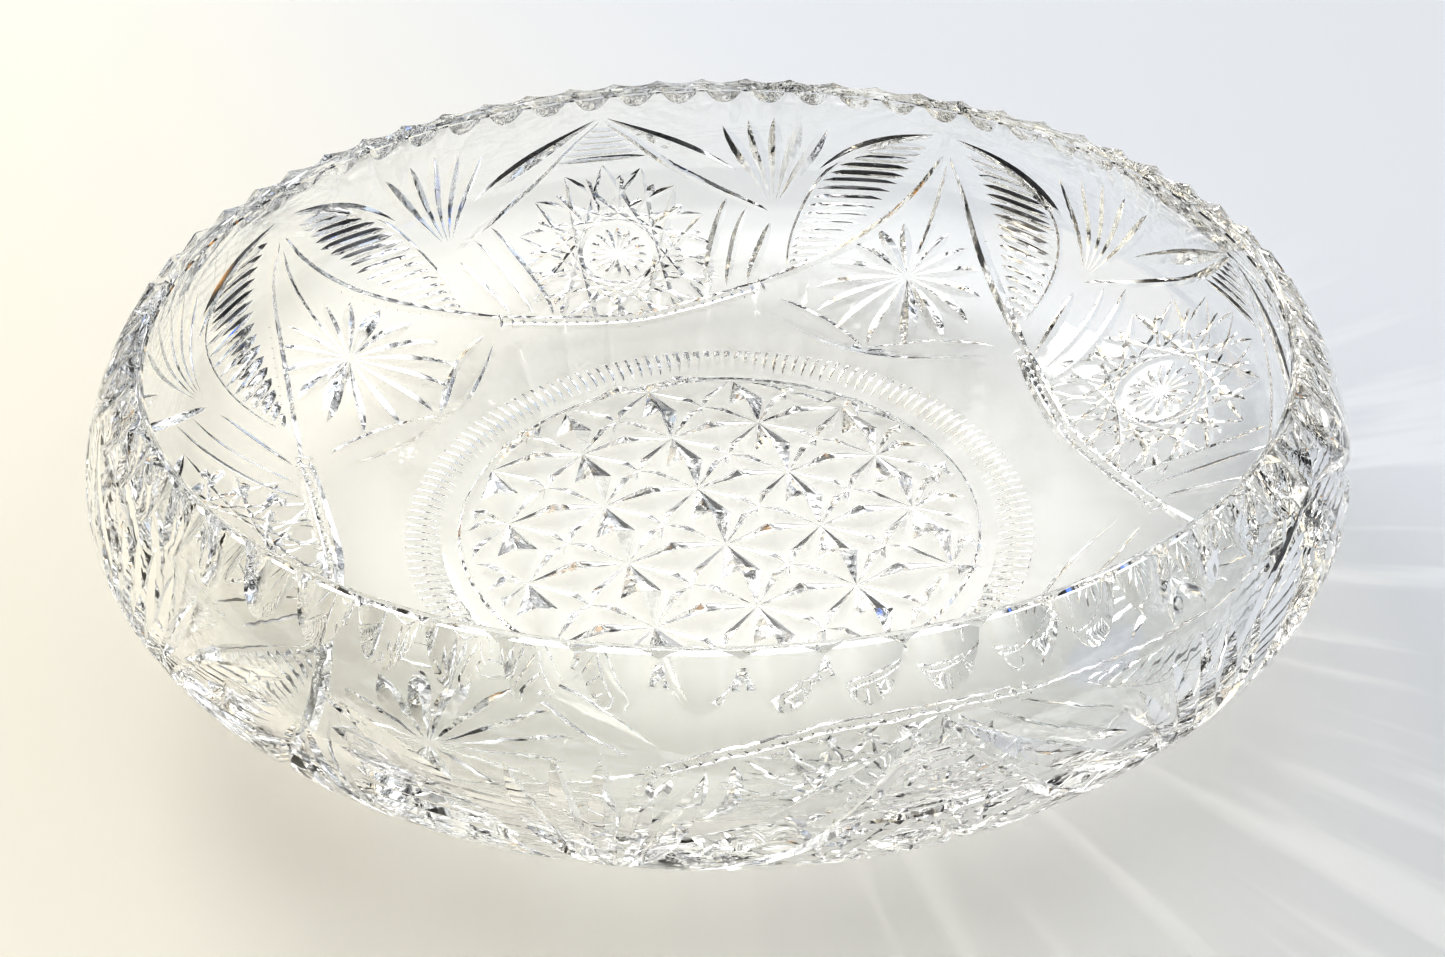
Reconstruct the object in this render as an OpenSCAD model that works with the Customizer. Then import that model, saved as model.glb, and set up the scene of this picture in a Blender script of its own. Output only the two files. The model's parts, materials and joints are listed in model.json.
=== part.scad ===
// Low cut-glass bowl: one blank of clear crystal with an in-curved rim, a fluted
// edge, a star-cut foot and a cut pattern that repeats round the wall.
// Millimetres, +Z up, origin at the centre of the plane that the foot stands on.

/* [Blank] */
// Widest diameter, at the shoulder
body_d = 252; // [230:1:300]
// Outside diameter of the rim, measured over the ridges between its flutes
rim_d = 230; // [200:1:236]
// Height from the table to the rim
height = 64; // [58:1:80]
// Height of the widest diameter
shoulder_z = 40; // [36:1:46]
// Thickness of the wall
wall = 6.5; // [6:0.5:8]
// Width of the flat edge on top of the rim
lip = 4; // [3.5:0.5:6]
// Height of the inside floor above the table
floor_z = 10.5; // [9:0.5:14]

/* [Foot] */
// Outside diameter of the flat resting ring
foot_d = 125; // [120:1:130]
// Width of the flat resting ring
foot_w = 4.5; // [3.5:0.5:8]
// How far the star field is sunk above the table
star_recess = 1.2; // [0.8:0.1:1.6]
// Spacing of the stars cut in the foot
star_pitch = 22; // [20:0.1:26]
// Angle of the rows of stars
star_turn = 16.5; // [0:0.5:90]

/* [Cuts] */
// Number of flutes round the rim
flutes = 62; // [48:1:72]
// Depth of a flute where it leaves the rim
flute_depth = 1.7; // [1:0.1:2.2]
// Height of a flute
flute_drop = 8; // [5:0.5:9]
// Angle of the first flute
flute_turn = 1.4; // [0:0.1:5.8]
// Angle of the first hobstar panel
pattern_turn = 14.5; // [0:0.5:90]
// Half of the angle between the two faces of a mitre cut
mitre_half = 55; // [50:1:62]

/* [Hidden] */
body_r = body_d / 2;
rim_r = rim_d / 2;
foot_r = foot_d / 2;
field_r = foot_r - foot_w;
repeats = 4;                // a star panel and a hobstar panel each come this often
round_power = 1.85;         // superellipse power of the wall below the shoulder
rim_power = 1.8;            // power of the curve above the shoulder
below_steps = 14;
above_steps = 8;
wall_foot_r = 63;           // where the curve of the outside wall starts
wall_foot_z = 2.5;
wall_foot_s = 1.7;          // running length already covered where that curve starts
floor_r = 52;               // radius of the flat middle of the inside floor
bevel = 6;                  // width and rise of the notched bevel round the foot
bevel_z = 2.7;
cutter = 7;                 // how tall a mitre cutter is, from its edge
overrun = 1.5;              // how far a mitre cutter reaches past each end

// Point of the wall below the shoulder, at angle t from 0 to 90 degrees.
function below(r0, z0, r1, t) =
    [r0 + (r1 - r0) * pow(sin(t), 2 / round_power),
     z0 + (shoulder_z - z0) * (1 - pow(cos(t), 2 / round_power))];
// Point of the wall above the shoulder, at share u from 0 to 1.
function above(r1, r2, u) =
    [r1 - (r1 - r2) * pow(u, rim_power), shoulder_z + (height - shoulder_z) * u];
function wall_curve(r0, z0, r1, r2) = concat(
    [for (i = [0 : below_steps]) below(r0, z0, r1, 90 * i / below_steps)],
    [for (i = [1 : above_steps]) above(r1, r2, i / above_steps)]);

outer = wall_curve(wall_foot_r, wall_foot_z, body_r, rim_r);
inner = wall_curve(floor_r, floor_z, body_r - wall, rim_r - lip);
outside = [for (p = outer) if (p[0] > foot_r + bevel + 0.5) p];

// Running length along a list of points, and the wall looked up by it.
function lengths(points, i = 0, sum = 0) = i >= len(points) ? [] : let (
    here = sum + (i > 0 ? norm(points[i] - points[i - 1]) : 0))
    concat([here], lengths(points, i + 1, here));
arc = lengths(outer, 0, wall_foot_s);
r_at = [for (i = [0 : len(outer) - 1]) [arc[i], outer[i][0]]];
z_at = [for (i = [0 : len(outer) - 1]) [arc[i], outer[i][1]]];
rim_s = arc[len(arc) - 1];

// Place on the outside wall at angle a and arc length s, and its outward normal.
function on_wall(a, s) =
    [lookup(s, r_at) * cos(a), lookup(s, r_at) * sin(a), lookup(s, z_at)];
function slope(s) = [lookup(s + 2, r_at) - lookup(s - 2, r_at),
                     lookup(s + 2, z_at) - lookup(s - 2, z_at)];
function normal(a, s) = let (d = slope(s))
    [d[1] * cos(a), d[1] * sin(a), -d[0]] / norm(d);
function unit(v) = v / norm(v);

// Wedge with its sharp edge from point p to point q, opening towards out.
module wedge(p, q, out, high) {
    along = unit(q - p);
    up = unit(out - (out * along) * along);
    side = cross(along, up);
    half = high * tan(mitre_half);
    mid = (p + q) / 2;
    multmatrix([[up[0], side[0], along[0], mid[0]],
                [up[1], side[1], along[1], mid[1]],
                [up[2], side[2], along[2], mid[2]],
                [0, 0, 0, 1]])
        linear_extrude(height = norm(q - p) + 2 * overrun, center = true)
            polygon([[0, 0], [high, half], [high, -half]]);
}

// Mitre cut between two places [angle, arc length] on the wall. The wall bulges
// over the straight edge of the wedge, so each cut comes out as a pointed lens.
module mitre(p, q, deeper = 0.3) {
    mid = (p + q) / 2;
    out = normal(mid[0], mid[1]);
    wedge(on_wall(p[0], p[1]) - deeper * out, on_wall(q[0], q[1]) - deeper * out,
          out, cutter);
}

// Chain of mitre cuts through a list of places, a long cut made in three lengths,
// and a pair of mirror images.
module chain(places, deeper = 0.3)
    for (i = [1 : len(places) - 1]) mitre(places[i - 1], places[i], deeper);
module long_mitre(p, q, deeper = 0.3)
    chain([for (i = [0 : 3]) p + (q - p) * i / 3], deeper);
module both_sides() {
    children();
    mirror([0, 1, 0]) children();
}

module blank() {
    rotate_extrude($fn = 120)
        polygon(concat(
            [[0, star_recess], [field_r, star_recess], [field_r + star_recess, 0],
             [foot_r, 0], [foot_r + bevel, bevel_z]],
            outside,
            [for (i = [len(inner) - 1 : -1 : 0]) inner[i]],
            [[0, floor_z]]));
}

// One flute: a round wheel's cut that is deepest where it leaves the rim.
module rim_flute() {
    half_width = PI * rim_r / flutes;
    wheel_r = (pow(half_width, 2) + pow(flute_depth, 2)) / (2 * flute_depth);
    foot = on_wall(0, rim_s - flute_drop - 1.5);
    top = on_wall(0, rim_s) - flute_depth * normal(0, rim_s - 2);
    lean = atan2(foot[0] - top[0], top[2] - foot[2]);
    translate(foot)
        rotate([0, -lean, 0])
            translate([wheel_r, 0, -6])
                cylinder(h = 20, r = wheel_r, $fn = 64);
}
module rim_flutes()
    for (i = [0 : flutes - 1]) rotate([0, 0, flute_turn + i * 360 / flutes]) rim_flute();

// Fan of five rays between two panels, centred on angle 0.
module fan()
    for (i = [-2 : 2]) mitre([0.5 * i, 64], [3.6 * i, 93 - abs(i) * 1.5]);

// Panel with a many-rayed star between two leaves, centred on angle 0.
module star_panel() {
    for (i = [0 : 11])
        mitre([0, 47], [0 + 11 * cos(i * 30), 47 + 20 * sin(i * 30)], 0.2);
    both_sides() chain([[0, 92], [9, 84], [17.5, 72], [21, 50], [22, 42]]);
    both_sides() chain([[0, 92], [6, 76], [11, 60], [20, 40]], 0.1);
    both_sides() chain([[0, 17], [10, 24], [22, 34]], 0.1);
}

// Pointed panel with a hobstar, centred on angle 0.
function hob_point(turn) = [12.5 * cos(turn), 52 + 24 * sin(turn)];
module hob_panel() {
    for (i = [0 : 7])
        long_mitre(hob_point(i * 45), hob_point(i * 45 + 135));
    both_sides() chain([[0, 94], [8, 85], [16, 72], [22.5, 63]]);
    both_sides() mitre([18.5, 36], [21.5, 62], -0.2);
    both_sides() chain([[0, 25], [12, 29], [22.5, 38]], 0.1);
}

module wall_pattern()
    for (k = [0 : repeats - 1]) rotate([0, 0, pattern_turn + k * 360 / repeats]) {
        hob_panel();
        rotate([0, 0, 45]) star_panel();
        rotate([0, 0, 22.5]) fan();
        rotate([0, 0, -22.5]) fan();
    }

// Rows of mitre cuts across the foot, one star_pitch apart with the first one at
// distance first from the centre. Two sets cross at the stars.
module foot_rows(turn, first, deep)
    rotate([0, 0, turn])
        for (i = [-3 : 3]) {
            y = first + i * star_pitch;
            if (abs(y) < field_r - 6) {
                half = sqrt(pow(field_r - 1, 2) - y * y);
                wedge([-half, y, star_recess + deep], [half, y, star_recess + deep],
                      [0, 0, -1], deep + star_recess);
            }
        }
module foot_stars() {
    foot_rows(star_turn, star_pitch / 2 - 1, 2.2);
    foot_rows(star_turn + 90, 2, 2.2);
}

module bowl()
    color([0.93, 0.95, 0.96])
        difference() {
            blank();
            rim_flutes();
            wall_pattern();
            foot_stars();
        }

bowl();
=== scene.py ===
import json
import math

import bpy
import mathutils
import numpy as np
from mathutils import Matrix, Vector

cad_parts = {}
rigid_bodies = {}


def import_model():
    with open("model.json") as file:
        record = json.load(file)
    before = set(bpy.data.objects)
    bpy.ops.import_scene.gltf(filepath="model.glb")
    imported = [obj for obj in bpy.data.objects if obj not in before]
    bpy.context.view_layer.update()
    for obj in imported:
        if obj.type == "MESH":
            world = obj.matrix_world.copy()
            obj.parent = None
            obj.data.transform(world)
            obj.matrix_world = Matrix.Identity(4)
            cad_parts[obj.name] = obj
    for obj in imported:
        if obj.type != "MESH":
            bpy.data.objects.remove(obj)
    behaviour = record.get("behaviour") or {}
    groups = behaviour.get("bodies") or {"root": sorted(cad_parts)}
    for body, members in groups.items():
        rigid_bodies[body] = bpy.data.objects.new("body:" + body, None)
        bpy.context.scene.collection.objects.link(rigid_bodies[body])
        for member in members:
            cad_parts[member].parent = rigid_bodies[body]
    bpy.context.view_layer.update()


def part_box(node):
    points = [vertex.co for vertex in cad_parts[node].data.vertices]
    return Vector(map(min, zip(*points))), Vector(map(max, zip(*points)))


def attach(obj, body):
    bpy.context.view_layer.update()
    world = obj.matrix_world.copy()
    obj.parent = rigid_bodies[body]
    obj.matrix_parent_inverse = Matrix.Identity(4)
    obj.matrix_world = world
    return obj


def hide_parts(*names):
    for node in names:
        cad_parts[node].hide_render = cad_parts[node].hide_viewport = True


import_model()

# ---------------------------------------------------------------------------
# The blank: one thick bowl of clear lead crystal, blown in a mould and ground
# flat under its foot. Everything else on the bowl is cut into it, so it is the
# only piece. Sizes are millimetres until a mesh is made.
# ---------------------------------------------------------------------------
MM = 0.001
low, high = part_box("bowl")
body_r = (high[0] - low[0]) / 2 / MM
height = high[2] / MM
rim_r = body_r - 11  # the rim leans in
shoulder_z = 40  # height of the widest place
wall_t = 6.5
lip = 4  # width of the edge on top
lip_round = 1.9
floor_z = 10.5  # inside floor
floor_r = 52
foot_r = 62.5  # outside of the ring that the bowl stands on
field_r = 58  # star field inside that ring
recess = 1.2  # how far the star field is sunk
bevel = 6  # width of the bevel outside the ring
wall_foot_r = 63  # where the outside curve starts
wall_foot_z = 2.5
round_power = 1.85  # wall below the shoulder
rim_power = 1.8  # wall above the shoulder
rim_s = 107.6  # running length up the outside wall at the rim
around = 216  # facets round the blank
ring_step = 2.4  # spacing of the rings up the wall


def wall_curve(r0, z0, r1, r2, n=400):
    """Side view of a wall: a superellipse of power round_power from (r0, z0) out to
    radius r1 at the shoulder, then r1 - (r1 - r2) * share ** rim_power in to radius r2
    at the rim."""
    t = np.linspace(0, np.pi / 2, n)
    u = np.linspace(0, 1, n)[1:]
    r = r0 + (r1 - r0) * np.sin(t) ** (2 / round_power)
    z = z0 + (shoulder_z - z0) * (1 - np.cos(t) ** (2 / round_power))
    r = np.append(r, r1 - (r1 - r2) * u**rim_power)
    z = np.append(z, shoulder_z + (height - shoulder_z) * u)
    return r, z


def running_length(r, z):
    """Sum of the straight steps along a curve, starting at 0."""
    return np.append(0, np.cumsum(np.hypot(np.diff(r), np.diff(z))))


# Running lengths on the outside are counted so that the rim is at rim_s.
out_r, out_z = wall_curve(wall_foot_r, wall_foot_z, body_r, rim_r)
out_s = running_length(out_r, out_z)
out_s += rim_s - out_s[-1]
rising = out_z < shoulder_z
bevel_z = np.interp(foot_r + bevel, out_r[rising], out_z[rising])
in_r, in_z = wall_curve(floor_r, floor_z, body_r - wall_t, rim_r - lip)


def side_normal(r, z, s, at):
    """Outward normal (radial, up) of a side-view curve: its tangent over 1 mm each way,
    turned a quarter turn."""
    dr = np.interp(at + 1, s, r) - np.interp(at - 1, s, r)
    dz = np.interp(at + 1, s, z) - np.interp(at - 1, s, z)
    size = np.hypot(dr, dz)
    return dz / size, -dr / size


def on_wall(angle, s):
    """Points and outward normals of the outside wall at angles in degrees and running
    lengths in millimetres up from the foot."""
    a = np.radians(angle)
    r = np.interp(s, out_s, out_r)
    nr, nz = side_normal(out_r, out_z, out_s, s)
    place = np.stack([r * np.cos(a), r * np.sin(a), np.interp(s, out_s, out_z)], -1)
    normal = np.stack([nr * np.cos(a), nr * np.sin(a), nz], -1)
    return place, normal


def evenly(r, z, step):
    """The same side-view curve with points about step apart."""
    s = running_length(r, z)
    at = np.linspace(0, s[-1], max(2, int(round(s[-1] / step)) + 1))
    return np.interp(at, s, r), np.interp(at, s, z)


def outline():
    """Side view of the whole blank, from the middle of the star field under the foot,
    out and up the wall, over the rounded lip, down the inside and in to the middle."""
    keep = out_r > foot_r + bevel + 0.5
    wall_r, wall_z = evenly(out_r[keep], out_z[keep], ring_step)
    turn = np.radians(np.linspace(90, 180, 5))
    lip_r = rim_r - lip + lip_round + lip_round * np.cos(turn)
    lip_z = height - lip_round + lip_round * np.sin(turn)
    below = in_z < height - lip_round
    inside_r, inside_z = evenly(in_r[below][::-1], in_z[below][::-1], ring_step)
    fields = np.linspace(0, field_r, 12)
    floors = np.linspace(floor_r, 0, 14)[1:]
    bevel_r = np.linspace(foot_r, foot_r + bevel, 4)
    bevel_up = np.linspace(0, bevel_z, 4)
    r = np.concatenate([fields, [field_r + 0.6], bevel_r, wall_r, lip_r, inside_r, floors])
    z = np.concatenate(
        [fields * 0 + recess, [0], bevel_up, wall_z, lip_z, inside_z, floors * 0 + floor_z]
    )
    return r, z


def revolved(name, r, z):
    """Turns a side view whose two ends lie on the axis round it: a grid of rings with a
    fan of triangles at each end."""
    a = np.linspace(0, 2 * np.pi, around, endpoint=False)
    ring_r, ring_z = r[1:-1], z[1:-1]
    rings = np.stack(
        [np.outer(ring_r, np.cos(a)), np.outer(ring_r, np.sin(a)), np.outer(ring_z, a * 0 + 1)], -1
    )
    co = np.concatenate([rings.reshape(-1, 3), [[0, 0, z[0]], [0, 0, z[-1]]]])
    i, j = np.meshgrid(np.arange(len(r) - 3), np.arange(around), indexing="ij")
    here, side = i * around + j, i * around + (j + 1) % around
    quads = np.stack([here, side, side + around, here + around], -1).reshape(-1, 4)
    k = np.arange(around)
    last = (len(r) - 3) * around
    first_fan = np.stack([(k + 1) % around, k, k * 0 + len(co) - 2], -1)
    last_fan = np.stack([last + k, last + (k + 1) % around, k * 0 + len(co) - 1], -1)
    mesh = bpy.data.meshes.new(name)
    mesh.from_pydata(co * MM, [], quads.tolist() + first_fan.tolist() + last_fan.tolist())
    return mesh


outline_r, outline_z = outline()
blank_mesh = revolved("cut_glass_bowl", outline_r, outline_z)
blank = bpy.data.objects.new("cut_glass_bowl", blank_mesh)
bpy.context.scene.collection.objects.link(blank)

# ---------------------------------------------------------------------------
# The cuts: each one is the path of a wheel's edge over the glass. A mitre wheel
# leaves a V that is widest where it goes deepest and runs out to a point at both
# ends; a round wheel leaves a flute.
# ---------------------------------------------------------------------------
cuts = bpy.data.collections.new("wheel_cuts")
lift = 1.5  # how far a V reaches out of the glass
run_out = 0.03  # a V's two ends stop this far above the glass
mitre = math.tan(math.radians(55))  # half of the angle between a mitre's faces


def cut(place, normal, depth, left=mitre, right=mitre):
    """Takes one V cut out of the blank. At each station of the path the wheel's edge is
    depth below the glass, and its faces rise to each side by 1 for each left or right
    millimetre across."""
    along = np.gradient(place, axis=0)
    across = np.cross(normal, along)
    across /= np.linalg.norm(across, axis=1, keepdims=True)
    d = depth[:, None]
    edge = place - normal * d
    top = place + normal * lift
    rows = np.stack([edge, top + across * (d + lift) * left, top - across * (d + lift) * right], 1)
    sweep(rows)


def sweep(rows):
    """Closed solid through a row of cross-sections, each a ring of points that runs the
    same way round."""
    m, k = rows.shape[:2]
    i, j = np.meshgrid(np.arange(m - 1), np.arange(k), indexing="ij")
    here, side = i * k + j, i * k + (j + 1) % k
    quads = np.stack([here, side, side + k, here + k], -1).reshape(-1, 4).tolist()
    ends = [list(range(k - 1, -1, -1)), list(range((m - 1) * k, m * k))]
    mesh = bpy.data.meshes.new("wheel_cut")
    mesh.from_pydata(rows.reshape(-1, 3) * MM, [], quads + ends)
    mesh.polygons.foreach_set("material_index", np.ones(len(mesh.polygons), dtype=np.int32))
    cuts.objects.link(bpy.data.objects.new("wheel_cut", mesh))


def swell(t, widest=0.5, blunt=0.9):
    """Share of the full depth along a cut: 4 u (1 - u) to the power blunt, where u is t
    bent so that the deepest place comes at widest."""
    u = t ** (math.log(0.5) / math.log(widest))
    return (4 * u * (1 - u)) ** blunt


def kite(t, widest=0.5):
    """Share of the full depth along a cut made with straight sides: rises evenly to 1 at
    widest and falls evenly to 0."""
    return np.minimum(t / widest, (1 - t) / (1 - widest))


def smooth(points, stations):
    """Path through points with its corners cut three times, then spaced evenly."""
    p = np.array(points, dtype=float)
    for _ in range(3):
        mids = np.stack([0.75 * p[:-1] + 0.25 * p[1:], 0.25 * p[:-1] + 0.75 * p[1:]], 1)
        p = np.concatenate([p[:1], mids.reshape(-1, 2), p[-1:]])
    s = running_length(p[:, 0] * 2, p[:, 1])
    at = np.linspace(0, s[-1], stations)
    return np.stack([np.interp(at, s, p[:, 0]), np.interp(at, s, p[:, 1])], 1)


def line(centre, points, width, stations=9, widest=0.5, blunt=0.9, left=mitre, right=mitre):
    """Mitre cut on the wall through points given as (degrees from centre, millimetres up
    the wall)."""
    p = smooth(points, stations)
    t = np.linspace(0, 1, stations)
    place, normal = on_wall(centre + p[:, 0], p[:, 1])
    depth = width / (left + right) * swell(t, widest, blunt) - run_out
    cut(place, normal, depth, left, right)


def mirrored(centre, points, width, stations=9, widest=0.5, blunt=0.9, out=mitre, into=mitre):
    """The same cut on both sides of a panel's middle. The face that looks away from the
    middle spreads out across for each millimetre of depth, and the other one into."""
    other = [(-a, s) for a, s in points]
    line(centre, points, width, stations, widest, blunt, into, out)
    line(centre, other, width, stations, widest, blunt, out, into)


def flat_to_wall(s0, x, y):
    """Place (degrees, millimetres up the wall) of a point x across and y up from running
    length s0, measured on the glass."""
    s = s0 + y
    return np.degrees(x / np.interp(s, out_s, out_r)), s


def ray(centre, a0, s0, turn, start, end, width, widest=0.6):
    """Mitre cut that points away from (a0, s0) at an angle in degrees from the level."""
    c, s = math.cos(math.radians(turn)), math.sin(math.radians(turn))
    p, q = flat_to_wall(s0, c * start, s * start), flat_to_wall(s0, c * end, s * end)
    line(centre, [(a0 + p[0], p[1]), (a0 + q[0], q[1])], width, 9, widest)


def teeth(centre, points, count, length, width):
    """Row of short cuts across a path, evenly spaced along it."""
    p = smooth(points, count)
    r = np.interp(p[:, 1], out_s, out_r)
    step = np.gradient(p, axis=0) * np.stack([np.radians(r), r * 0 + 1], 1)
    step /= np.linalg.norm(step, axis=1, keepdims=True)
    reach = np.stack([-np.degrees(step[:, 1] / r), step[:, 0]], 1) * length / 2
    for middle, half in zip(p, reach):
        line(centre, [middle - half, middle + half], width, 5, 0.5, 0.5)


# Rim: a thumb-wide flute every few degrees, cut by a round wheel that goes
# deepest where it leaves the lip, so the edge comes out scalloped.
flutes = 62
flute_drop = 8
flute_depth = 1.7
flute_turn = 1.4


def flute(centre):
    """Cut by a round wheel: a circular arc, wide enough to meet the next flute at the
    lip, pushed along the wall from just under the flute's foot to above the lip."""
    half = math.pi * rim_r / flutes
    wheel = (half**2 + flute_depth**2) / (2 * flute_depth)
    foot, foot_out = on_wall(centre, rim_s - flute_drop)
    top, top_out = on_wall(centre, rim_s)
    edge = top - top_out * flute_depth
    t = np.array([-0.4, 0, 0.25, 0.5, 0.75, 1, 1.5])[:, None]  # 0 at the foot, 1 at the lip
    path = foot + (edge - foot) * t
    out = foot_out + (top_out - foot_out) * 0.5
    across = np.cross(out, edge - foot)
    across /= np.linalg.norm(across)
    out = np.cross(edge - foot, across)
    out /= np.linalg.norm(out)
    phi = np.radians(np.linspace(-38, 38, 13))
    arc = np.outer(wheel * (1 - np.cos(phi)), out) + np.outer(wheel * np.sin(phi), across)
    clear, beside = 6, 8
    over = np.array([out * clear + across * beside, out * clear - across * beside])
    sweep(path[:, None, :] + np.concatenate([arc, over])[None])


for k in range(flutes):
    flute(flute_turn + k * 360 / flutes)


# Fans: five rays that spring from one place between every two panels.
def fan(centre):
    """Ray i leans 3.4 degrees further out than the one before, and the outer ones are
    shorter."""
    for i in range(-2, 3):
        line(centre, [(0.3 * i, 65.5), (3.4 * i, 94 - abs(i) ** 1.5 * 1.2)], 4.2, 9, 0.62)


# Star panels: a many-rayed star between two feathered leaves that spring from
# one point and sweep down into the swags on each side.
def leaf_outer(s):
    """Degrees from the panel's middle at which the leaf ends, at running length s."""
    up = [44, 52, 62, 73, 81.5, 88.5, 93]
    return np.interp(s, up, [19.4, 19.6, 18.8, 16.8, 13.5, 8.5, 1.5])


def leaf_inner(s):
    """Degrees from the panel's middle at which the leaf begins, at running length s."""
    up = [44, 47.5, 52, 57, 63, 69, 77, 84, 92]
    return np.interp(s, up, [18.5, 16, 13.5, 11.2, 9.2, 7.6, 5.2, 3.6, 1.2])


def star_panel(centre):
    """The leaves' arch, edges, stems and feathers, then the star, then the swag below."""
    arch = [(1.2, 94), (6, 91.3), (10.5, 87), (14, 82), (16.8, 76.5)]
    mirrored(centre, arch, 5.6, 17, 0.62, 0.8, 3.0, 0.8)
    edge = [(leaf_outer(s), s) for s in (93, 88.5, 81.5, 73, 62, 52, 44)]
    mirrored(centre, edge, 1.8, 25, 0.5, 0.4)
    stem = [(0.4, 87), (3, 75), (5.7, 65.5), (8.5, 58.5), (12, 51.8), (16, 46), (20, 40.8), (24, 37)]
    mirrored(centre, stem, 3.6, 29, 0.5, 0.35)
    for side in (-1, 1):
        lower_stem = [(side * 6, 65), (side * 8.5, 58.5), (side * 12, 51.8), (side * 16, 46)]
        teeth(centre, lower_stem, 10, 4.2, 1.5)
    line(centre, [(0, 84), (0.9, 49)], 2.8, 11, 0.35)
    for s in np.arange(46.5, 90, 2.75):
        a, b = leaf_inner(s + 0.8) + 0.3, leaf_outer(s - 0.8) - 0.3
        mirrored(centre, [(a, s + 0.9), (b, s - 0.9)], 2.6, 7, 0.5, 0.35)
    for k in range(16):
        if k != 4:  # the long line above stands for this ray
            turn = k * 22.5
            lower = -math.sin(math.radians(turn))
            ray(centre, 1.0, 47, turn, 1.0, 22.5 + 5 * lower, 4.3 + 0.9 * lower)
    line(centre, [(-19, 34), (-10, 28), (-4.5, 22), (1, 17.2)], 2.4, 15, 0.5, 0.4)
    line(centre, [(1, 17.2), (6.5, 22), (12, 26.5), (20, 32)], 2.4, 15, 0.5, 0.4)
    swag = [(-20, 31), (-14, 23), (-6.5, 17), (1, 14.6), (8.5, 15.6), (16, 20), (23, 28)]
    line(centre, swag, 5.0, 25, 0.5, 0.8, 4.5, 1.2)


# Hobstar panels: an arch with a pointed top over a sixteen-point star woven from
# straight mitres round a small raised button, with three bars down each side.
def hob_panel(centre):
    """The arch and its inner line, the bars under its point, the woven star with its rays,
    the side bars, and the double swag with its teeth."""
    arch = [(0.5, 96), (5, 90.5), (9.5, 85.5), (13.5, 80.5), (17.5, 75)]
    mirrored(centre, arch, 5.2, 17, 0.6, 0.8, 3.0, 0.8)
    inner_line = [(0.2, 95), (3.5, 88.5), (5.5, 84), (8.7, 77.5), (10.8, 74.5), (15.5, 68.5), (22, 62.5)]
    mirrored(centre, inner_line, 2.6, 25, 0.5, 0.35)
    for s in np.arange(81.5, 92, 2):
        half = (95.5 - s) * 0.42
        line(centre, [(-half, s - 0.3), (half, s + 0.3)], 1.9, 7, 0.5, 0.35)
    centre_s = 50.5
    point_r = 29
    weave_depth = 1.0
    for k in range(16):
        turns = np.radians([k * 22.5, k * 22.5 + 135])
        x, y = point_r * np.cos(turns), point_r * np.sin(turns)
        t = np.linspace(0, 1, 13)
        a, s = flat_to_wall(centre_s, x[0] + (x[1] - x[0]) * t, y[0] + (y[1] - y[0]) * t)
        place, normal = on_wall(centre + a, s)
        cut(place, normal, weave_depth * swell(t, 0.5, 0.25) - run_out)
        ray(centre, 0, centre_s, k * 22.5 + 11.25, 1.5, 8.8, 2.2)
        ray(centre, 0, centre_s, k * 22.5 + 11.25, 13, 25.5, 4.0)
    mirrored(centre, [(13.4, 33), (13.2, 42), (14, 50), (15.2, 60), (16.2, 66.5)], 3.4, 17, 0.5, 0.5)
    mirrored(centre, [(16.3, 35.5), (16.8, 45), (17.6, 56), (19, 64)], 2.6, 13, 0.5, 0.6)
    mirrored(centre, [(19.8, 38), (20.2, 43), (21.3, 50), (22.3, 59)], 3.4, 13, 0.5, 0.6)
    swag = [(-22, 38), (-14.8, 32), (-7.4, 28.3), (0, 26.3), (7.4, 28.3), (14.8, 32), (22, 38)]
    swag_gap = 2.8
    line(centre, swag, 3.2, 33, 0.5, 0.3)
    line(centre, [(a, s - swag_gap) for a, s in swag], 3.2, 33, 0.5, 0.3)
    teeth(centre, [(a, s - swag_gap / 2) for a, s in swag], 27, 5.6, 1.7)


repeats = 4
hob_turn = 14.5
for k in range(repeats):
    turn = hob_turn + k * 360 / repeats
    hob_panel(turn)
    star_panel(turn + 45)
    fan(turn + 22.5)
    fan(turn - 22.5)

# Foot: rows of eight-rayed stars sunk inside the smooth ring that the bowl
# stands on, and notches round the bevel outside the ring.
star_pitch = 22
star_turn = math.radians(16.5)
star_shift = np.array([-1.8, -1.5])
arm_width = 9.0
diagonal_width = 4.2
row = star_pitch * np.array([math.cos(star_turn), math.sin(star_turn)])
column = star_pitch * np.array([math.sin(star_turn), -math.cos(star_turn)])


def foot_ray(start, end, width, widest):
    """Mitre cut in the star field between two places, cut short at the field's edge."""
    t = np.linspace(0, 1, 41)[:, None]
    inside = np.linalg.norm(start + (end - start) * t, axis=1) < field_r - 1.5
    if inside.sum() < 8:
        return
    first, last = t[inside][0], t[inside][-1]
    u = np.array([0, 0.05, 0.28, 0.5, 0.72, 0.95, 1])
    flat = start + (end - start) * (first + (last - first) * u[:, None])
    place = np.column_stack([flat, np.full(len(u), recess)])
    normal = np.tile([0.0, 0.0, -1.0], (len(u), 1))
    wide = math.tan(math.radians(60))
    cut(place, normal, width / 2 / wide * kite(u, widest) - run_out, wide, wide)


reach = range(-3, 4)
for i in reach:
    for j in reach:
        node = star_shift + i * row + (j + 0.5) * column
        if np.linalg.norm(node) > field_r + star_pitch:
            continue
        foot_ray(node, node + row, arm_width, 0.5)
        foot_ray(node, node + column, arm_width, 0.5)
        for side in (-1, 1):
            for end in (-1, 1):
                foot_ray(node, node + (side * row + end * column) / 2, diagonal_width, 0.72)

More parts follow.
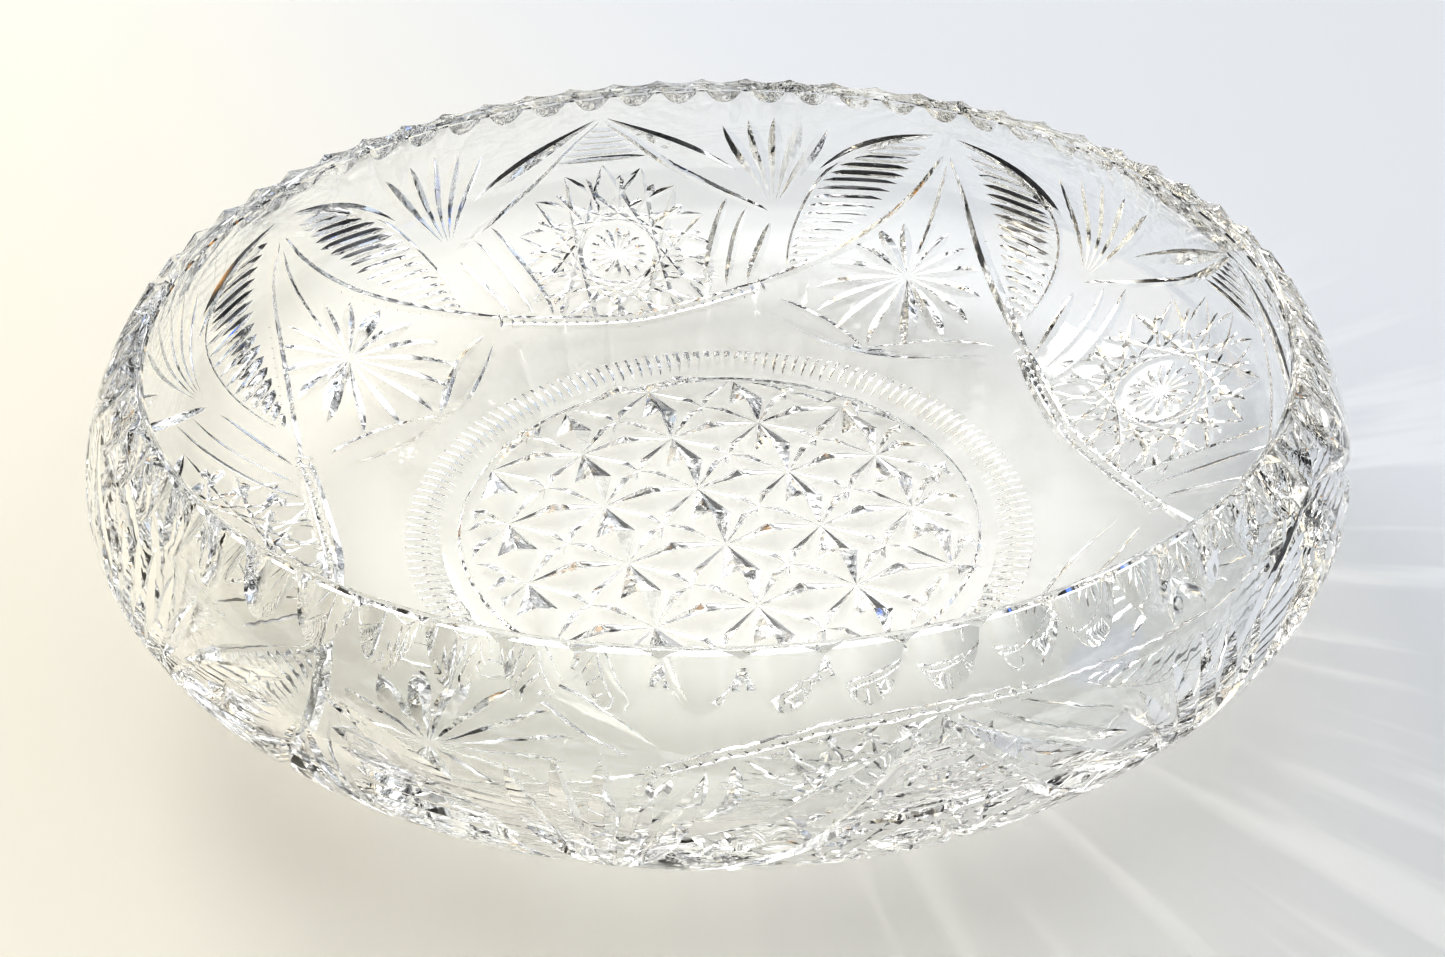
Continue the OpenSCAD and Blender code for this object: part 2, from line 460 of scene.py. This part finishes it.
notches = 160
notch_depth = 0.75
for k in range(notches):
    a = math.radians(k * 360 / notches)
    spoke = np.array([math.cos(a), math.sin(a)])
    r = np.linspace(foot_r - 0.5, foot_r + bevel + 1.5, 5)
    z = (r - foot_r) * bevel_z / bevel
    place = np.column_stack([np.outer(r, spoke), z])
    normal = np.tile(np.append(spoke * bevel_z, -bevel) / math.hypot(bevel, bevel_z), (5, 1))
    cut(place, normal, notch_depth * swell(np.linspace(0, 1, 5), 0.6) - run_out)

# Grinding: all the cuts come off the blank at once. A cutter's faces carry material 1,
# so the faces that it leaves can be told from the blank's own.
grind = blank.modifiers.new("grinding", "BOOLEAN")
grind.operation = "DIFFERENCE"
grind.solver = "MANIFOLD"
grind.operand_type = "COLLECTION"
grind.collection = cuts
blank.data.materials.append(None)
blank.data.materials.append(None)
ground = blank.evaluated_get(bpy.context.evaluated_depsgraph_get())
bowl_mesh = bpy.data.meshes.new_from_object(ground)
bowl_mesh.name = "cut_glass_bowl"
blank.modifiers.clear()
blank.data = bowl_mesh
for worn in list(cuts.objects):
    bpy.data.meshes.remove(worn.data)
bpy.data.collections.remove(cuts)


def read(items, name, width, kind=np.float64):
    """One property of all items of a mesh, as an array with width numbers an item."""
    values = np.empty(len(items) * width, dtype=kind)
    items.foreach_get(name, values)
    return values.reshape(-1, width) if width > 1 else values


soft_turn = math.radians(20)  # the side view's corners under this are smooth
crease = math.radians(22)  # edges over this stay sharp


def polish(mesh, r, z):
    """Gives what is left of the blank its true smooth normals. Each of its faces belongs
    to the nearest length of the side view, and a corner's normal is that length's two end
    normals mixed by how far along it the corner lies. Cut faces keep the mesh's own."""
    step = np.diff(np.column_stack([r, z]), axis=0)
    flat = np.column_stack([step[:, 1], -step[:, 0]])
    flat /= np.linalg.norm(flat, axis=1, keepdims=True)
    soft = (flat[1:] * flat[:-1]).sum(1) > math.cos(soft_turn)
    mid = flat[1:] + flat[:-1]
    mid /= np.linalg.norm(mid, axis=1, keepdims=True)
    first, last = flat.copy(), flat.copy()
    first[1:][soft] = mid[soft]
    last[:-1][soft] = mid[soft]
    centre = read(mesh.polygons, "center", 3) / MM
    start = np.column_stack([r, z])[:-1]
    size = (step**2).sum(1)
    at = np.column_stack([np.hypot(centre[:, 0], centre[:, 1]), centre[:, 2]])
    share = ((at[:, None] - start) * step).sum(2) / size
    gap = at[:, None] - start - step * np.clip(share, 0, 1)[..., None]
    part = (gap**2).sum(2).argmin(1)
    corner_face = np.repeat(np.arange(len(centre)), read(mesh.polygons, "loop_total", 1, np.int32))
    corner = read(mesh.vertices, "co", 3)[read(mesh.loops, "vertex_index", 1, np.int32)] / MM
    part = part[corner_face]
    radius = np.maximum(np.hypot(corner[:, 0], corner[:, 1]), 1e-6)
    at = np.column_stack([radius, corner[:, 2]])
    share = np.clip(((at - start[part]) * step[part]).sum(1) / size[part], 0, 1)[:, None]
    side = first[part] * (1 - share) + last[part] * share
    true = np.column_stack([side[:, :1] * corner[:, :2] / radius[:, None], side[:, 1]])
    own = read(mesh.corner_normals, "vector", 3)
    left = read(mesh.polygons, "material_index", 1, np.int32)[corner_face] == 0
    own[left] = true[left] / np.linalg.norm(true[left], axis=1, keepdims=True)
    mesh.normals_split_custom_set(own.tolist())


bowl_mesh.shade_smooth()
bowl_mesh.set_sharp_from_angle(angle=crease)
polish(bowl_mesh, outline_r, outline_z)
# The finish tells cut faces from the blank's own by this mask: 1 on a cut face.
ground_face = read(bowl_mesh.polygons, "material_index", 1, np.int32)
mask = bowl_mesh.attributes.new("ground", "FLOAT", "FACE")
mask.data.foreach_set("value", ground_face.astype(np.float32))
bowl_mesh.polygons.foreach_set("material_index", ground_face * 0)
bowl_mesh.materials.clear()


class Socket:
    """A shader value that Python arithmetic turns into Math nodes."""

    def __init__(self, tree, link):
        self.tree = tree
        self.link = link

    def _math(self, operation, a, b):
        return self.tree.node("ShaderNodeMath", {"operation": operation}, {0: a, 1: b})

    def __add__(self, other):
        return self._math("ADD", self, other)

    def __mul__(self, other):
        return self._math("MULTIPLY", self, other)

    def __sub__(self, other):
        return self._math("SUBTRACT", self, other)

    def __rsub__(self, other):
        return self._math("SUBTRACT", other, self)

    def __pow__(self, other):
        return self._math("POWER", self, other)

    __radd__ = __add__
    __rmul__ = __mul__


class Tree:
    """Node tree of a material or of the world."""

    def __init__(self, owner):
        owner.use_nodes = True
        self.nodes = owner.node_tree.nodes
        self.links = owner.node_tree.links
        self.nodes.clear()

    def node(self, kind, settings=None, sockets=None, out=0):
        """Adds a node: its type, its settings, then the values or links of its inputs."""
        made = self.nodes.new(kind)
        for name, value in (settings or {}).items():
            setattr(made, name, value)
        for name, value in (sockets or {}).items():
            if isinstance(value, Socket):
                self.links.new(value.link, made.inputs[name])
            else:
                made.inputs[name].default_value = value
        return Socket(self, made.outputs[out]) if len(made.outputs) else made


def crystal():
    """Clear lead crystal. The blank's own skin is fire-bright; the cut faces are acid
    polished, so they are a touch softer and show faint wheel marks."""
    material = bpy.data.materials.new("clear_crystal")
    tree = Tree(material)
    place = tree.node("ShaderNodeTexCoord", out=3)
    cut_face = tree.node("ShaderNodeAttribute", {"attribute_name": "ground"}, out=2)
    roll = tree.node("ShaderNodeTexNoise", None, {"Vector": place, "Scale": 160.0, "Detail": 2.0})
    grain = {"Vector": place, "Scale": 900.0, "Detail": 3.0}
    wheel_marks = tree.node("ShaderNodeTexNoise", None, grain)
    smear = tree.node("ShaderNodeTexNoise", None, {"Vector": place, "Scale": 28.0, "Detail": 4.0})
    relief = roll * 0.7 + wheel_marks * cut_face * 0.12
    bump = tree.node("ShaderNodeBump", None, {"Strength": 0.12, "Distance": 0.0005, "Height": relief})
    rough = smear ** 3 * 0.05 + cut_face * 0.02
    glass = tree.node(
        "ShaderNodeBsdfPrincipled",
        None,
        {
            "Base Color": (0.985, 0.992, 0.99, 1),
            "Roughness": rough,
            "Normal": bump,
            "IOR": 1.54,
            "Transmission Weight": 1.0,
        },
    )
    tree.node("ShaderNodeOutputMaterial", None, {"Surface": glass})
    return material


bowl_mesh.materials.append(crystal())
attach(blank, "root")
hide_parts("bowl")

# ---------------------------------------------------------------------------
# Studio: a pale table, a dim room that is bright overhead, warm on one side and
# cool on the other, and a camera that looks down into the bowl from in front.
# ---------------------------------------------------------------------------
scene = bpy.context.scene
scene.view_settings.view_transform = "Standard"
scene.view_settings.exposure = -0.32
scene.view_settings.gamma = 0.7
scene.cycles.max_bounces = 24
scene.cycles.transmission_bounces = 24
scene.cycles.glossy_bounces = 12
scene.cycles.diffuse_bounces = 4

table_size = 40.0
table_z = -0.0002  # a hair under the foot, so that the two faces don't share a plane
table_mesh = bpy.data.meshes.new("table")
corners = [(-1, -1), (1, -1), (1, 1), (-1, 1)]
half_table = table_size / 2
table_mesh.from_pydata([(x * half_table, y * half_table, table_z) for x, y in corners], [], [(0, 1, 2, 3)])
table = bpy.data.objects.new("table", table_mesh)
scene.collection.objects.link(table)
# Strengths of the board's painted light: a painted pool of light under the bowl and painted caustic
# streaks beside it.
painted_pool_under = 0.52
painted_caustic_streaks = 0.13


def table_top():
    """Pale matt board with painted light: painted warm and lighter on the left and cool and darker on the
    right, with a painted pool of light under the glass and painted caustic streaks out to the right, both
    emitted by the board itself."""
    material = bpy.data.materials.new("pale_table")
    tree = Tree(material)
    place = tree.node("ShaderNodeTexCoord", out=3)
    x = tree.node("ShaderNodeSeparateXYZ", None, {"Vector": place}, out=0)
    y = tree.node("ShaderNodeSeparateXYZ", None, {"Vector": place}, out=1)
    away = tree.node("ShaderNodeVectorMath", {"operation": "LENGTH"}, {0: place}, out=1)

    def ramp(value, low, high):
        """0 at low and 1 at high, with a smooth step between them."""
        ends = {"Value": value, "From Min": low, "From Max": high}
        return tree.node("ShaderNodeMapRange", {"interpolation_type": "SMOOTHSTEP"}, ends)

    # Painted light: the board's colour goes from warm and lighter on the left to cool and darker on the
    # right, as a warm lamp on the left and a cool one on the right would light it.
    warm, cool = (0.96, 0.93, 0.83, 1), (0.80, 0.83, 0.88, 1)
    painted_light_tone = tree.node(
        "ShaderNodeMix",
        {"data_type": "RGBA"},
        {"Factor": ramp(x + y * 0.5, -0.3, 0.26), "A": warm, "B": cool},
        out=2,
    )
    # Painted pool of light: the board glows under and around the bowl's foot.
    under = ramp(away, 0.17, 0.06)
    angle = tree.node("ShaderNodeMath", {"operation": "ARCTAN2"}, {0: y, 1: x})
    spokes = tree.node("ShaderNodeCombineXYZ", None, {"X": angle * 9.0, "Y": away * 6.0})
    waves = {"Vector": spokes, "Scale": 1.4, "Detail": 3.0}
    ripple = tree.node("ShaderNodeTexNoise", {"noise_dimensions": "2D"}, waves)
    # Painted caustic streaks: noisy spokes near the bowl, on its right.
    near = ramp(away, 0.26, 0.11)
    painted_streak_side = ramp(x - y * 0.6, 0.02, 0.16)
    streaks = ramp(ripple, 0.5, 0.72)
    # The painted glow is emission from the board, not light that has passed through the glass.
    painted_glow = under * painted_pool_under + streaks * near * painted_streak_side * painted_caustic_streaks
    painted_glow_colour = {0: (1.0, 0.965, 0.89), "Scale": painted_glow}
    board = tree.node(
        "ShaderNodeBsdfPrincipled",
        None,
        {
            "Base Color": painted_light_tone,
            "Roughness": 0.7,
            "Emission Color": tree.node("ShaderNodeVectorMath", {"operation": "SCALE"}, painted_glow_colour),
            "Emission Strength": 1.0,
        },
    )
    tree.node("ShaderNodeOutputMaterial", None, {"Surface": board})
    return material


table_mesh.materials.append(table_top())


dim = (0.03, 0.03, 0.036, 1)
dark = (0.02, 0.02, 0.022, 1)
sky = (1.9, 1.9, 1.9, 1)
warm_wall = (1.9, 1.7, 1.35, 1)
cool_window = (1.0, 1.1, 1.25, 1)
amber = (1.3, 0.75, 0.3, 1)
blue = (0.35, 0.6, 1.6, 1)
backdrop = (1.05, 1.07, 1.1, 1)


def room():
    """Light from the room: bright overhead, dim near the level and behind the camera, with
    a warm patch to the left, a cool one to the right, and a small amber and a small blue
    one. The dim parts are what the cut faces show as grey and black. The camera itself
    sees a pale backdrop."""
    world = bpy.data.worlds.new("soft_room")
    scene.world = world
    tree = Tree(world)
    way = tree.node("ShaderNodeTexCoord", out=0)

    def towards(direction, near, far):
        """1 within near degrees of a direction, falling to 0 at far degrees from it."""
        v = np.array(direction, dtype=float)
        both = {0: way, 1: v / np.linalg.norm(v)}
        dot = tree.node("ShaderNodeVectorMath", {"operation": "DOT_PRODUCT"}, both, out=1)
        low, high = math.cos(math.radians(far)), math.cos(math.radians(near))
        ends = {"Value": dot, "From Min": low, "From Max": high}
        return tree.node("ShaderNodeMapRange", {"interpolation_type": "SMOOTHSTEP"}, ends)

    def blend(share, a, b):
        """Colour a where share is 0 and colour b where it is 1."""
        return tree.node("ShaderNodeMix", {"data_type": "RGBA"}, {"Factor": share, "A": a, "B": b}, out=2)

    shade = blend(towards((0, 0.1, 1), 38, 68), dim, sky)
    shade = blend(towards((0, -1, 0.75), 28, 40), shade, dark)
    shade = blend(towards((-1, 0.1, 0.5), 20, 30), shade, warm_wall)
    shade = blend(towards((1, -0.25, 0.5), 14, 24), shade, cool_window)
    shade = blend(towards((-0.8, 0.75, 0.2), 4, 9), shade, amber)
    shade = blend(towards((0.85, -0.45, 0.15), 5, 9), shade, blue)
    seen = tree.node("ShaderNodeLightPath", out=0)
    shade = blend(seen, shade, backdrop)
    light = tree.node("ShaderNodeBackground", None, {"Color": shade, "Strength": 1.0})
    tree.node("ShaderNodeOutputWorld", None, {"Surface": light})


room()


def lamp(name, place, size, power, colour):
    """Square soft light that faces the bowl and doesn't show as a square in the glass."""
    data = bpy.data.lights.new(name, "AREA")
    data.size = size
    data.energy = power
    data.color = colour
    made = bpy.data.objects.new(name, data)
    made.location = place
    made.visible_glossy = False
    made.rotation_euler = (-made.location).to_track_quat("-Z", "Y").to_euler()
    scene.collection.objects.link(made)


lamp("back_left", (-0.7, 0.9, 1.1), 0.6, 6.0, (1.0, 0.97, 0.92))

look_down = math.radians(36.76)
roll = math.radians(-0.935)
camera_away = 0.3375
lens = bpy.data.cameras.new("camera")
lens.lens = 36.97
lens.sensor_width = 36
lens.shift_x = 0.002
lens.shift_y = 0.0385
lens.clip_start = 0.01
camera = bpy.data.objects.new("camera", lens)
camera.location = (0, -camera_away * math.cos(look_down), camera_away * math.sin(look_down))
level = mathutils.Euler((math.pi / 2 - look_down, 0, 0)).to_matrix()
camera.rotation_euler = (level @ mathutils.Matrix.Rotation(roll, 3, "Z")).to_euler()
scene.collection.objects.link(camera)
scene.camera = camera
